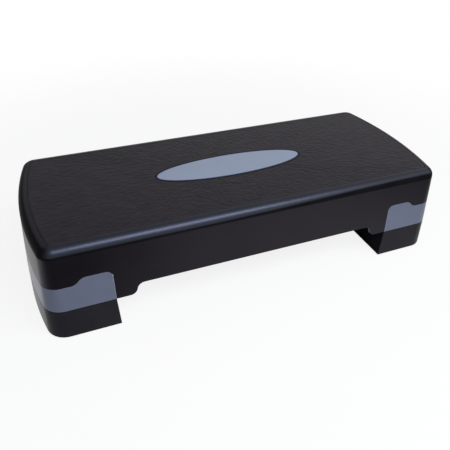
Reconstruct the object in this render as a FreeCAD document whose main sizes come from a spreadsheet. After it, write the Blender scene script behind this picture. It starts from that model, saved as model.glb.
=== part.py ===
import FreeCAD, Part
import Sketcher
import math
import os

from FreeCAD import Vector

# Driving sizes: lengths in millimetres, drafts in degrees
DRIVING = {
    # Whole platform, its outline measured where the deck meets the risers
    "platform_length": 680.0,
    "platform_width": 280.0,
    "end_radius": 540.0,
    "corner_radius": 28.0,
    "deck_height": 100.0,
    "riser_height": 50.0,
    "leg_length": 111.0,
    # Deck shell
    "rim_radius": 14.5,
    "skirt_draft": 4.5,
    "skirt_wall": 3.0,
    "top_plate": 5.0,
    "skirt_rise": 18.0,
    "tab_length": 20.0,
    "tab_wave": 22.0,
    "rib_wall": 2.5,
    "rib_depth": 36.0,
    "rib_pitch": 77.0,
    "rib_margin": 36.0,
    "core_bevel": 8.0,
    "boss_width": 12.0,
    # Tread mat and oval inlay
    "mat_thickness": 2.0,
    "mat_gap": 0.4,
    "panel_margin": 0.5,
    "oval_length": 252.0,
    "oval_width": 66.0,
    "oval_gap": 0.3,
    "peg_width": 3.2,
    "peg_gap": 0.2,
    "peg_stub": 2.0,
    # End bands
    "band_wall": 3.0,
    "band_low": 39.5,
    "band_high": 50.0,
    "tongue_length": 36.0,
    "tongue_wave": 22.0,
    "tongue_corner": 10.0,
    "seam": 0.4,
    "web_wall": 3.0,
    "web_setdown": 1.0,
    # Risers
    "riser_draft": 2.8,
    "riser_wall": 3.0,
    "riser_plate": 3.0,
    "plate_drop": 3.0,
    "collar_height": 24.0,
    "collar_wall": 2.5,
    "collar_gap": 0.4,
    "riser_rib_pitch": 56.0,
    "riser_rib_lift": 20.0,
    # Band screws
    "screw_diameter": 2.9,
    "screw_gap": 0.1,
    "screw_clearance": 0.2,
    "screw_bite": 14.0,
    "pilot_spare": 2.0,
    "head_across": 6.4,
    "head_height": 2.5,
    "screw_spread": 120.0,
    # Rubber pads under the risers
    "foot_width": 24.0,
    "foot_clip": 5.0,
    "foot_thickness": 3.5,
    "foot_stand": 1.5,
    "foot_boss_rim": 1.0,
    "foot_inner_setback": 20.0,
    "foot_outer_setback": 36.0,
    "foot_side_setback": 28.0,
    # Rubber pads under the bands
    "stud_width": 18.0,
    "stud_clip": 4.0,
    "stud_thickness": 2.5,
    "stud_stand": 1.0,
    "stud_boss_rim": 1.0,
    "stud_inner_setback": 22.0,
    "stud_outer_setback": 36.0,
    "stud_side_setback": 32.0,
    # Stems that hold the rubber pads in their bosses
    "stem_width": 8.0,
    "stem_length": 8.0,
    "stem_gap": 0.15,
    # How far every cut runs past the face that it opens
    "overrun": 5.0,
}

# Sizes that follow from the driving ones
DERIVED = {
    "half_length": "platform_length / 2",
    "half_width": "platform_width / 2",
    "bow_offset": "end_radius - half_length",
    "tread_level": "riser_height + deck_height",
    "leg_edge": "half_length - leg_length",
    "tab_edge": "leg_edge - tab_length",
    "arch_edge": "tab_edge - tab_wave",
    "arch_level": "riser_height + skirt_rise",
    "cut_width": "platform_width + 2 * overrun",
    "rim_reach": "rim_radius / tan(45 + skirt_draft / 2)",
    "panel_inset": "deck_height * tan(skirt_draft) + rim_reach + panel_margin",
    "mat_inset": "panel_inset + mat_gap",
    "mat_floor": "tread_level - mat_thickness",
    "core_level": "tread_level - top_plate",
    "core_height": "deck_height - top_plate",
    "rib_half": "rib_wall / 2",
    "cross_rib_count": "2 * floor((half_length - rib_margin) / rib_pitch) + 1",
    "long_rib_count": "2 * floor((half_width - rib_margin + rib_pitch / 2) / rib_pitch)",
    "first_cross_rib": "(cross_rib_count - 1) / 2 * rib_pitch",
    "first_long_rib": "(long_rib_count - 1) / 2 * rib_pitch",
    "peg_length": "top_plate - mat_thickness + peg_stub",
    "peg_hole": "peg_width + 2 * peg_gap",
    "low_level": "riser_height + band_low",
    "high_level": "riser_height + band_high",
    "tongue_end": "leg_edge + tongue_length",
    "wave_end": "tongue_end + tongue_wave",
    "web_top": "low_level - web_setdown",
    "web_bottom": "web_top - web_wall",
    "upper_inset": "band_wall + (web_top - riser_height) * tan(skirt_draft)",
    "collar_inset": "band_wall + collar_gap",
    "plate_top": "riser_height - plate_drop",
    "plate_bottom": "plate_top - riser_plate",
    "riser_rib_depth": "plate_bottom - foot_stand - riser_rib_lift",
    "riser_rib_count": "2 * floor((half_width - foot_side_setback) / riser_rib_pitch)",
    "first_riser_rib": "(riser_rib_count - 1) / 2 * riser_rib_pitch",
    "riser_middle": "half_length - leg_length / 2",
    "pilot_diameter": "screw_diameter + 2 * screw_gap",
    "pilot_depth": "screw_bite + pilot_spare",
    "screw_hole": "screw_diameter + 2 * screw_clearance",
    "shank_length": "web_wall + screw_bite",
    "stem_half": "stem_width / 2",
    "foot_half": "foot_width / 2",
    "stud_half": "stud_width / 2",
    "stem_hole": "stem_width + 2 * stem_gap",
    "stem_hole_half": "stem_hole / 2",
    "foot_boss_half": "foot_half + foot_boss_rim",
    "stud_boss": "stud_width + 2 * stud_boss_rim",
    "stud_level": "riser_height - stud_stand",
    "stud_seat": "stud_level + stud_thickness",
    "screw_side": "screw_spread / 2",
    "foot_inner": "leg_edge + foot_inner_setback",
    "foot_outer": "half_length - foot_outer_setback",
    "foot_side": "half_width - foot_side_setback",
    "stud_inner": "leg_edge + stud_inner_setback",
    "stud_outer": "half_length - stud_outer_setback",
    "stud_side": "half_width - stud_side_setback",
}

# Places of the inlay's pegs along the tread, as shares of the rib pitch
PEG_SHARES = (-1.5, -0.5, 0.5, 1.5)

LEFT = FRONT = DOWN = -1
RIGHT = BACK = UP = 1
CENTRE = (RIGHT, "")
ORIGIN = (-1, 1)
AXIS_ACROSS = -1
AXIS_UP = AXIS_ACROSS - 1
START = 1
END = START + 1
MIDDLE = END + 1
QUARTER = math.pi / 2
HEAD_SIDES = 6

doc = FreeCAD.newDocument("AerobicStep")
sheet = doc.addObject("Spreadsheet::Sheet", "Sizes")


def fill_sheet():
    formulas = {name: f"={rule}" for name, rule in DERIVED.items()}
    for row, (name, content) in enumerate({**DRIVING, **formulas}.items(), 1):
        sheet.set(f"A{row}", name)
        sheet.set(f"B{row}", str(content))
        sheet.setAlias(f"B{row}", name)
    doc.recompute()


def amount(formula):
    """The value of a sum of sizes, such as 'half_width - skirt_wall'."""
    total = 0
    sign = 1
    for word in formula.split():
        if word in ("+", "-"):
            sign = 1 if word == "+" else -1
        else:
            total += sign * sheet.get(word)
    return total


def cell(formula):
    """The same sum, with each size pointed at its cell."""
    return " ".join(f"Sizes.{word}" if word.isidentifier() else word for word in formula.split())


def origin_part(body, role):
    return next(part for part in body.Origin.OriginFeatures if part.Role == role)


class Drawing:
    """A sketch on one of a body's own planes, its dimensions bound to the sheet."""

    def __init__(self, body, name, plane="XY_Plane", level=None):
        self.sketch = body.newObject("Sketcher::SketchObject", name)
        self.sketch.AttachmentSupport = [(origin_part(body, plane), "")]
        self.sketch.MapMode = "FlatFace"
        if level:
            self.sketch.setExpression(".AttachmentOffset.Base.z", cell(level))

    def line(self, start, end):
        return self.sketch.addGeometry(Part.LineSegment(start, end), False)

    def arc(self, centre, radius, first, last):
        circle = Part.Circle(centre, Vector(0, 0, 1), radius)
        return self.sketch.addGeometry(Part.ArcOfCircle(circle, first, last), False)

    def tie(self, kind, *places):
        return self.sketch.addConstraint(Sketcher.Constraint(kind, *places))

    def measure(self, formula, kind, *places):
        row = self.tie(kind, *places, amount(formula))
        self.sketch.renameConstraint(row, f"size_{row}")
        self.sketch.setExpression(f".Constraints.size_{row}", cell(formula))

    def pin(self, geometry, end, across, up):
        """Hold a point at its two distances from the origin, each a side and a sum of sizes."""
        for kind, axis, (side, formula) in (("DistanceX", AXIS_UP, across), ("DistanceY", AXIS_ACROSS, up)):
            if not formula:
                self.tie("PointOnObject", geometry, end, axis)
            elif side > 0:
                self.measure(formula, kind, *ORIGIN, geometry, end)
            else:
                self.measure(formula, kind, geometry, end, *ORIGIN)

    def ring(self, across, up, diameter):
        """A circle round a pinned centre."""
        centre = Vector(place(across), place(up), 0)
        row = self.sketch.addGeometry(Part.Circle(centre, Vector(0, 0, 1), amount(diameter) / 2), False)
        self.measure(diameter, "Diameter", row)
        self.pin(row, MIDDLE, across, up)

    def polygon(self, corners):
        """A closed outline of straight lines through pinned corners."""
        points = [Vector(place(across), place(up), 0) for across, up in corners]
        lines = [self.line(start, end) for start, end in zip(points, points[1:] + points[:1])]
        for line, before, (across, up) in zip(lines, lines[-1:] + lines[:-1], corners):
            self.tie("Coincident", before, END, line, START)
            self.pin(line, START, across, up)

    def link(self, *ends):
        """Lines from point to point, each run square to the sketch's axes by the kind given with it."""
        rows = []
        for kind, start, end in ends:
            row = self.line(start, end)
            self.tie(kind, row)
            rows.append(row)
        return rows


def place(distance):
    side, formula = distance
    return side * amount(formula)


def bowed_end(drawing, inset, side):
    """A bowed end and its two corners, drawn anticlockwise and moved inwards by the inset."""
    turn = 0 if side == LEFT else math.pi
    facing = FreeCAD.Rotation(Vector(0, 0, 1), math.degrees(turn))
    bow = amount("end_radius - corner_radius")
    rise = amount("half_width - corner_radius")
    reach = math.sqrt(bow ** 2 - rise ** 2)
    spread = math.atan2(rise, reach)
    middle = Vector(amount("bow_offset"), 0, 0)
    corner_radius = "corner_radius" + inset
    end_radius = "end_radius" + inset
    arcs = (
        (middle + Vector(-reach, rise, 0), corner_radius, QUARTER, math.pi - spread),
        (middle, end_radius, math.pi - spread, math.pi + spread),
        (middle + Vector(-reach, -rise, 0), corner_radius, math.pi + spread, 3 * QUARTER),
    )
    first, long_arc, last = [
        drawing.arc(facing.multVec(centre), amount(radius), turn + start, turn + stop)
        for centre, radius, start, stop in arcs
    ]
    drawing.tie("Tangent", first, END, long_arc, START)
    drawing.tie("Tangent", long_arc, END, last, START)
    drawing.tie("Equal", first, last)
    drawing.measure(corner_radius, "Radius", first)
    drawing.measure(end_radius, "Radius", long_arc)
    drawing.pin(long_arc, MIDDLE, (-side, "bow_offset"), CENTRE)
    return first, last


def side_line(drawing, start, end, side, inset):
    """The straight front or back of an outline, level with the side of the platform."""
    row = drawing.line(start, end)
    drawing.tie("Horizontal", row)
    places = (row, START, *ORIGIN) if side == FRONT else (*ORIGIN, row, START)
    drawing.measure("half_width" + inset, "DistanceY", *places)
    return row


def platform_outline(drawing, inset=""):
    """The whole platform from above."""
    point = drawing.sketch.getPoint
    left_back, left_front = bowed_end(drawing, inset, LEFT)
    right_front, right_back = bowed_end(drawing, inset, RIGHT)
    front = side_line(drawing, point(left_front, END), point(right_front, START), FRONT, inset)
    back = side_line(drawing, point(right_back, END), point(left_back, START), BACK, inset)
    for before, after in ((left_front, front), (front, right_front), (right_back, back), (back, left_back)):
        drawing.tie("Tangent", before, END, after, START)


def leg_outline(drawing, edge, inset=""):
    """The left leg from above: the bowed end closed by a straight inner wall at the edge."""
    point = drawing.sketch.getPoint
    back_corner, front_corner = bowed_end(drawing, inset, LEFT)
    front_start = point(front_corner, END)
    back_end = point(back_corner, START)
    inner_front = Vector(-amount(edge), front_start.y, 0)
    inner_back = Vector(-amount(edge), back_end.y, 0)
    front = side_line(drawing, front_start, inner_front, FRONT, inset)
    back = side_line(drawing, inner_back, back_end, BACK, inset)
    inner = drawing.line(inner_front, inner_back)
    drawing.tie("Vertical", inner)
    drawing.tie("Coincident", front, END, inner, START)
    drawing.tie("Coincident", inner, END, back, START)
    drawing.tie("Tangent", front_corner, END, front, START)
    drawing.tie("Tangent", back, END, back_corner, START)
    drawing.measure(edge, "DistanceX", inner, START, *ORIGIN)


def wave(drawing, low, high, side):
    """An S of two equal arcs that rises from a low point to a high one, level at both ends."""
    run = abs(high.x - low.x)
    rise = high.y - low.y
    radius = (run ** 2 + rise ** 2) / (4 * rise)
    turn = 2 * math.atan2(rise, run)
    lower_first = -QUARTER if side > 0 else -QUARTER - turn
    upper_first = QUARTER if side > 0 else QUARTER - turn
    lower = drawing.arc(low + Vector(0, radius, 0), radius, lower_first, lower_first + turn)
    upper = drawing.arc(high - Vector(0, radius, 0), radius, upper_first, upper_first + turn)
    near, far = (START, END) if side > 0 else (END, START)
    drawing.tie("Tangent", lower, far, upper, far)
    drawing.tie("Equal", lower, upper)
    return (lower, near), (upper, near)


def end_profile(drawing, gap=""):
    """The left end band from the front: a low strip that rises in a wave to a tongue at the inner edge."""
    more = f" + {gap}" if gap else ""
    less = f" - {gap}" if gap else ""
    edge = "leg_edge" + more
    tongue_end = "tongue_end" + less
    wave_end = "wave_end" + less
    low = "low_level" + less
    high = "high_level" + less
    corner = "tongue_corner" + less
    outside = -amount("half_length + overrun")
    base = amount("riser_height - overrun")
    foot = Vector(-amount(edge), base, 0)
    shoulder = Vector(-amount(edge), amount(high) - amount(corner), 0)
    tip = Vector(-amount(edge) - amount(corner), amount(high), 0)
    crest = Vector(-amount(tongue_end), amount(high), 0)
    dip = Vector(-amount(wave_end), amount(low), 0)
    strip, top, inner, bottom, outer = drawing.link(
        ("Horizontal", Vector(outside, amount(low), 0), dip),
        ("Horizontal", crest, tip),
        ("Vertical", shoulder, foot),
        ("Horizontal", foot, Vector(outside, base, 0)),
        ("Vertical", Vector(outside, base, 0), Vector(outside, amount(low), 0)),
    )
    lower, upper = wave(drawing, dip, crest, RIGHT)
    round_centre = Vector(tip.x, shoulder.y, 0)
    rounding = drawing.arc(round_centre, amount(corner), 0, QUARTER)
    drawing.tie("Tangent", strip, END, *lower)
    drawing.tie("Tangent", *upper, top, START)
    drawing.tie("Tangent", top, END, rounding, END)
    drawing.tie("Tangent", rounding, START, inner, START)
    drawing.tie("Coincident", inner, END, bottom, START)
    drawing.tie("Coincident", bottom, END, outer, START)
    drawing.tie("Coincident", outer, END, strip, START)
    drawing.measure(corner, "Radius", rounding)
    drawing.pin(strip, END, (LEFT, wave_end), (UP, low))
    drawing.pin(top, START, (LEFT, tongue_end), (UP, high))
    drawing.pin(bottom, END, (LEFT, "half_length + overrun"), (UP, "riser_height - overrun"))
    drawing.measure(edge, "DistanceX", inner, END, *ORIGIN)


def level_pair(reach, level):
    """Two points at one level, as far to the left as to the right."""
    return Vector(-amount(reach), level, 0), Vector(amount(reach), level, 0)


def arch_profile(drawing):
    """The raised middle of the skirt from the front, with a wave at each end."""
    base = amount("riser_height - overrun")
    joint = amount("riser_height")
    crown = amount("arch_level")
    corners = {}
    for side in (LEFT, RIGHT):
        low = Vector(side * amount("tab_edge"), joint, 0)
        high = Vector(side * amount("arch_edge"), crown, 0)
        upright = drawing.link(("Vertical", Vector(low.x, base, 0), low))[0]
        lower, upper = wave(drawing, low, high, -side)
        drawing.tie("Coincident", upright, END, *lower)
        drawing.tie("Vertical", lower[0], MIDDLE, upright, END)
        drawing.pin(upright, END, (side, "tab_edge"), (UP, "riser_height"))
        corners[side] = (upright, upper)
    (bottom,) = drawing.link(("Horizontal", *level_pair("tab_edge", base)))
    top = drawing.line(*level_pair("arch_edge", crown))
    for side, end in ((LEFT, START), (RIGHT, END)):
        upright, upper = corners[side]
        drawing.tie("Coincident", upright, START, bottom, end)
        drawing.tie("Tangent", *upper, top, end)
        drawing.pin(top, end, (side, "arch_edge"), (UP, "arch_level"))
    drawing.measure("riser_height - overrun", "DistanceY", *ORIGIN, bottom, START)


def new_body(name):
    return doc.addObject("PartDesign::Body", name)


def pad(body, drawing, length, downward=False, both_ways=False):
    feature = body.newObject("PartDesign::Pad", drawing.sketch.Name + "Pad")
    feature.Profile = drawing.sketch
    feature.setExpression("Length", cell(length))
    feature.Reversed = downward
    if both_ways:
        feature.SideType = "Symmetric"
    doc.recompute()
    return feature


def pocket(body, drawing, depth):
    before = body.Shape.Volume
    feature = body.newObject("PartDesign::Pocket", drawing.sketch.Name + "Pocket")
    feature.Profile = drawing.sketch
    feature.setExpression("Length", cell(depth))
    doc.recompute()
    if body.Shape.Volume >= before:
        raise RuntimeError(f"{feature.Name} cuts nothing")
    return feature


def repeat(body, feature, axis, pitch, count):
    """Copies of a pocket in a row."""
    row = body.newObject("PartDesign::LinearPattern", feature.Name + "Row")
    row.Originals = [feature]
    row.Direction = (origin_part(body, axis), [""])
    row.Mode = "Spacing"
    row.setExpression("Offset", cell(pitch))
    row.setExpression("Occurrences", cell(count))
    body.Tip = row
    doc.recompute()


def is_level(face):
    return isinstance(face.Surface, Part.Plane) and math.isclose(abs(face.Surface.Axis.z), 1)


def lean(body, feature, level, angle):
    """Draft on every upright face, narrower towards the top, with the outline kept at the given level."""
    height = amount(level)
    named = {f"Face{number}": face for number, face in enumerate(feature.Shape.Faces, 1)}
    flat = [name for name, face in named.items() if is_level(face)]
    kept = [name for name in flat if math.isclose(named[name].CenterOfMass.z, height)]
    drafted = body.newObject("PartDesign::Draft", feature.Name + "Draft")
    drafted.Base = (feature, [name for name in named if name not in flat])
    drafted.NeutralPlane = (feature, kept)
    drafted.setExpression("Angle", cell(angle))
    doc.recompute()
    return drafted


def level_edges(feature, level):
    height = amount(level)
    return [
        f"Edge{number}" for number, edge in enumerate(feature.Shape.Edges, 1)
        if all(abs(corner.Z - height) < edge.Tolerance for corner in edge.Vertexes)
    ]


def upright_edges(feature):
    return [
        f"Edge{number}" for number, edge in enumerate(feature.Shape.Edges, 1)
        if math.isclose(abs(edge.tangentAt(edge.FirstParameter).z), 1)
    ]


def roll(body, feature, edges, radius):
    """A round along the named edges."""
    rolled = body.newObject("PartDesign::Fillet", feature.Name + "Roll")
    rolled.Base = (feature, edges)
    rolled.setExpression("Radius", cell(radius))
    doc.recompute()


def bevel(body, feature, edges, size):
    """A flat bevel along the named edges."""
    bevelled = body.newObject("PartDesign::Chamfer", feature.Name + "Bevel")
    bevelled.Base = (feature, edges)
    bevelled.setExpression("Size", cell(size))
    doc.recompute()


def cylinder(name, diameter, height, across, along, level):
    """An upright cylinder on a pinned centre."""
    solid = doc.addObject("Part::Cylinder", name)
    solid.setExpression("Radius", f"{cell(diameter)} / 2")
    solid.setExpression("Height", cell(height))
    set_down(solid, across, along, level)
    return solid


def post(name, width, height, across, along, level):
    """An upright square post on a pinned centre."""
    solid = doc.addObject("Part::Box", name)
    solid.setExpression("Length", cell(width))
    solid.setExpression("Width", cell(width))
    solid.setExpression("Height", cell(height))
    set_down(solid, across, along, level, half=f" - {cell(width)} / 2")
    return solid


def set_down(solid, across, along, level, half=""):
    for axis, (side, formula), less in zip("xyz", (across, along, (UP, level)), (half, half, "")):
        centre = f"{side} * ({cell(formula)})" if formula else ""
        if centre or less:
            solid.setExpression(f"Placement.Base.{axis}", centre + less)


def cut(name, base, tools):
    for number, tool in enumerate(tools, 1):
        result = doc.addObject("Part::Cut", f"{name}_{number}")
        result.Base = base
        result.Tool = tool
        base = result
    return base


def fuse(name, solids):
    result = doc.addObject("Part::MultiFuse", name)
    result.Shapes = solids
    return result


def mirrored(name, source):
    """The same piece at the other end of the platform."""
    result = doc.addObject("Part::Mirroring", name)
    result.Source = source
    result.Normal = Vector(1, 0, 0)
    return result


def rectangle(left, right, front, back):
    return (left, front), (right, front), (right, back), (left, back)


def square(across, along, half):
    """A square round a centre, which is a side and a size each way."""
    (end, reach), (depth, setting) = across, along
    return tuple(
        ((end, f"{reach} {x_sign} {half}"), (depth, f"{setting} {y_sign} {half}"))
        for x_sign, y_sign in ("--", "+-", "++", "-+")
    )


def stations(kind):
    """The four places of a kind of fastening in the left leg, by name."""
    return {
        f"{depth_name}_{reach}": ((LEFT, f"{kind}_{reach}"), (depth, f"{kind}_side"))
        for depth_name, depth in (("front", FRONT), ("back", BACK))
        for reach in ("inner", "outer")
    }


def screw_places():
    """The two places of the screws in the left leg, by name."""
    return {
        depth_name: ((LEFT, "riser_middle"), (depth, "screw_side"))
        for depth_name, depth in (("front", FRONT), ("back", BACK))
    }


def platform_block():
    """The full outer form of deck and bands: drafted skirt and rolled rim."""
    body = new_body("PlatformBlock")
    drawing = Drawing(body, "PlatformOutline", level="riser_height")
    platform_outline(drawing)
    upright = pad(body, drawing, "deck_height")
    skirt = lean(body, upright, "riser_height", "skirt_draft")
    roll(body, skirt, level_edges(skirt, "tread_level"), "rim_radius")
    return body


def side_prism(name, profile, *gap):
    """A profile seen from the front, run through the whole width of the platform."""
    body = new_body(name)
    drawing = Drawing(body, name + "Profile", "XZ_Plane")
    profile(drawing, *gap)
    pad(body, drawing, "cut_width", both_ways=True)
    return body


def leg_prism(name, level, edge, inset, height, draft=None, downward=False):
    """A solid on the outline of the left leg, upright or drafted."""
    body = new_body(name)
    drawing = Drawing(body, name + "Outline", level=level)
    leg_outline(drawing, edge, inset)
    upright = pad(body, drawing, height, downward)
    if draft:
        lean(body, upright, level, draft)
    return body


def deck_core():
    """The space inside the deck, slotted where the ribs stand."""
    body = new_body("DeckCore")
    drawing = Drawing(body, "CoreOutline", level="riser_height")
    platform_outline(drawing, " - skirt_wall")
    upright = pad(body, drawing, "core_height")
    skirt = lean(body, upright, "riser_height", "skirt_draft")
    bevel(body, skirt, level_edges(skirt, "core_level"), "core_bevel")
    cross_rib = rectangle(
        (LEFT, "first_cross_rib + rib_half"), (LEFT, "first_cross_rib - rib_half"),
        (FRONT, "half_width"), (BACK, "half_width"))
    long_rib = rectangle(
        (LEFT, "half_length"), (RIGHT, "half_length"),
        (FRONT, "first_long_rib + rib_half"), (FRONT, "first_long_rib - rib_half"))
    rib_slots(body, "CrossRib", cross_rib, "core_level", "rib_depth", "X_Axis",
              "rib_pitch", "cross_rib_count")
    rib_slots(body, "LongRib", long_rib, "core_level", "rib_depth", "Y_Axis",
              "rib_pitch", "long_rib_count")
    return body


def rib_slots(body, name, corners, level, depth, axis, pitch, count):
    """A row of slots sunk from the top of a core, which leave ribs in what is hollowed by it."""
    drawing = Drawing(body, name, level=level)
    drawing.polygon(corners)
    first = pocket(body, drawing, depth)
    repeat(body, first, axis, pitch, count)


def tread_panel(name, inset, height):
    """A plate on the floor of the mat's recess."""
    body = new_body(name)
    drawing = Drawing(body, name + "Outline", level="mat_floor")
    platform_outline(drawing, inset)
    pad(body, drawing, height)
    return body


def oval(name, gap, height):
    """An oval plate on the floor of the mat's recess."""
    outline = doc.addObject("Part::Ellipse", name + "Outline")
    outline.setExpression("MajorRadius", f"{cell('oval_length')} / 2{gap}")
    outline.setExpression("MinorRadius", f"{cell('oval_width')} / 2{gap}")
    outline.setExpression("Placement.Base.z", cell("mat_floor"))
    solid = doc.addObject("Part::Extrusion", name)
    solid.Base = outline
    solid.DirMode = "Custom"
    solid.Dir = Vector(0, 0, 1)
    solid.Solid = True
    solid.setExpression("LengthFwd", cell(height))
    return solid


def pegs(name, width, length):
    """The inlay's pegs, or the holes for them, midway between the cross ribs."""
    return [
        post(f"{name}_{number}", width, length, (share, "rib_pitch"), CENTRE, "mat_floor - peg_length")
        for number, share in enumerate(PEG_SHARES, 1)
    ]


def deck_shell(block):
    left_cutout = side_prism("EndCutout", end_profile)
    hollows = [
        left_cutout,
        mirrored("OtherEndCutout", left_cutout),
        side_prism("ArchCutout", arch_profile),
        deck_core(),
        tread_panel("MatRecess", " - panel_inset", "mat_thickness + overrun"),
    ]
    shell = cut("DeckShell", block, hollows + pegs("PegHole", "peg_hole", "peg_length + overrun"))
    bosses = []
    pilots = []
    for name, ((_, reach), along) in screw_places().items():
        for end_name, end in (("Left", LEFT), ("Right", RIGHT)):
            centre = ((end, reach), along, "web_top")
            bosses.append(post(f"{end_name}Boss_{name}", "boss_width", "core_level - web_top", *centre))
            pilots.append(cylinder(f"{end_name}Pilot_{name}", "pilot_diameter", "pilot_depth", *centre))
    return cut("Deck", fuse("DeckSolids", [shell, *bosses]), pilots)


def tread_mat():
    sheet_of_rubber = tread_panel("MatSheet", " - mat_inset", "mat_thickness")
    opening = oval("MatOpening", f" + {cell('oval_gap')}", "mat_thickness + overrun")
    return cut("Mat", sheet_of_rubber, [opening])


def oval_inlay():
    plate = oval("InlayPlate", "", "mat_thickness")
    return fuse("Inlay", [plate, *pegs("InlayPeg", "peg_width", "peg_length")])


def end_band(block):
    """The left band: a wall flush with the skirt, open below for the riser, closed above by a web."""
    inner_edge = "leg_edge + seam + band_wall"
    outer = doc.addObject("Part::Common", "BandBlock")
    outer.Base = block
    outer.Tool = side_prism("BandProfile", end_profile, "seam")
    socket = leg_prism("BandSocket", "riser_height", inner_edge, " - band_wall",
                       "web_bottom - riser_height", "skirt_draft")
    upper = leg_prism("BandUpper", "web_top", inner_edge, " - upper_inset",
                      "high_level - web_top + overrun", "skirt_draft")
    solids = [cut("BandShell", outer, [socket, upper])]
    holes = []
    for name, centre in screw_places().items():
        holes.append(cylinder(f"ScrewHole_{name}", "screw_hole", "web_wall + overrun",
                              *centre, "web_bottom"))
    for name, centre in stations("stud").items():
        solids.append(post(f"StudBoss_{name}", "stud_boss", "web_bottom - stud_seat", *centre, "stud_seat"))
        holes.append(post(f"StudHole_{name}", "stem_hole", "stem_length + overrun", *centre, "stud_seat"))
    return cut("Band", fuse("BandSolids", solids), holes)


def riser_core():
    """The space inside the riser, slotted where its ribs and the bosses of its rubber feet stand."""
    body = leg_prism("RiserCore", "plate_bottom", "leg_edge + riser_wall", " - riser_wall",
                     "plate_bottom - foot_stand + overrun", downward=True)
    rib = rectangle(
        (LEFT, "half_length"), (LEFT, "leg_edge"),
        (FRONT, "first_riser_rib + rib_half"), (FRONT, "first_riser_rib - rib_half"))
    rib_slots(body, "RiserRib", rib, "plate_bottom", "riser_rib_depth", "Y_Axis",
              "riser_rib_pitch", "riser_rib_count")
    spine = Drawing(body, "RiserSpine", level="plate_bottom")
    spine.polygon(rectangle(
        (LEFT, "riser_middle + rib_half"), (LEFT, "riser_middle - rib_half"),
        (FRONT, "half_width"), (BACK, "half_width")))
    pocket(body, spine, "riser_rib_depth")
    bosses = Drawing(body, "FootBosses", level="plate_bottom")
    for across, along in stations("foot").values():
        for half in ("foot_boss_half", "stem_hole_half"):
            bosses.polygon(square(across, along, half))
    pocket(body, bosses, "plate_bottom - foot_thickness")
    return body


def riser():
    """The left riser: a drafted block with a collar on top that plugs into the band."""
    collar_edge = "leg_edge + seam + collar_inset"
    block = leg_prism("RiserBlock", "riser_height", "leg_edge", "",
                      "riser_height - foot_stand", "riser_draft", downward=True)
    collar = leg_prism("Collar", "riser_height", collar_edge, " - collar_inset",
                       "collar_height", "skirt_draft")
    recess = leg_prism("CollarRecess", "plate_top", collar_edge + " + collar_wall",
                       " - collar_inset - collar_wall",
                       "plate_drop + collar_height + overrun", "skirt_draft")
    return cut("Riser", fuse("RiserSolids", [block, collar]), [recess, riser_core()])


def rubber_pad(name, kind, across, along, level):
    """A square foot with clipped corners and a stem that plugs into its boss."""
    half, stem_half = f"{kind}_half", "stem_half"
    body = new_body(name)
    outline = Drawing(body, name + "Outline")
    outline.polygon(rectangle((LEFT, half), (RIGHT, half), (FRONT, half), (BACK, half)))
    sole = pad(body, outline, f"{kind}_thickness")
    bevel(body, sole, upright_edges(sole), f"{kind}_clip")
    stem = Drawing(body, name + "Stem", level=f"{kind}_thickness")
    stem.polygon(rectangle((LEFT, stem_half), (RIGHT, stem_half), (FRONT, stem_half), (BACK, stem_half)))
    pad(body, stem, "stem_length")
    set_down(body, across, along, level)
    return body


def screw(name, across, along):
    """A screw with a six-sided head, which lies under the band's web, and its shank in the deck's boss."""
    head = doc.addObject("Part::Prism", f"Head_{name}")
    head.Polygon = HEAD_SIDES
    head.setExpression("Circumradius", f"{cell('head_across')} / 2")
    head.setExpression("Height", cell("head_height"))
    set_down(head, across, along, "web_bottom - head_height")
    shank = cylinder(f"Shank_{name}", "screw_diameter", "shank_length", across, along, "web_bottom")
    return fuse(f"Screw_{name}", [head, shank])


def band_screws():
    group = doc.addObject("Part::Compound", "Screws")
    group.Links = [screw(name, *centre) for name, centre in screw_places().items()]
    return group


def leg_pieces(block):
    """Every piece of the left leg by the name it has there, without the side."""
    pieces = {"end_band": end_band(block), "band_screws": band_screws(), "riser": riser()}
    for name, centre in stations("stud").items():
        pieces[f"band_pad_{name}"] = rubber_pad(f"Stud_{name}", "stud", *centre, "stud_level")
    for name, centre in stations("foot").items():
        pieces[f"riser_pad_{name}"] = rubber_pad(f"Foot_{name}", "foot", *centre, "")
    return pieces


def build():
    block = platform_block()
    nodes = {"deck_shell": deck_shell(block), "tread_mat": tread_mat(), "oval_inlay": oval_inlay()}
    for name, piece in leg_pieces(block).items():
        nodes[f"left_{name}"] = piece
        nodes[f"right_{name}"] = mirrored(f"Right_{name}", piece)
    for label, piece in nodes.items():
        piece.Label = label
    doc.recompute()
    return nodes


def check(nodes):
    for item in doc.Objects:
        if {"Invalid", "Error"} & set(item.State):
            raise RuntimeError(f"{item.Label} failed: {item.State}")
    for label, piece in nodes.items():
        if piece.Shape.isNull() or not piece.Shape.isValid() or not piece.Shape.Solids:
            raise RuntimeError(f"{label} has no valid solid")


def write(nodes):
    os.makedirs("parts", exist_ok=True)
    for piece in nodes.values():
        piece.Shape.exportStep(f"parts/{piece.Label}.step")


fill_sheet()
model = build()
check(model)
write(model)
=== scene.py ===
import math

import bmesh
import bpy
from mathutils import Matrix, Vector


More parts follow.
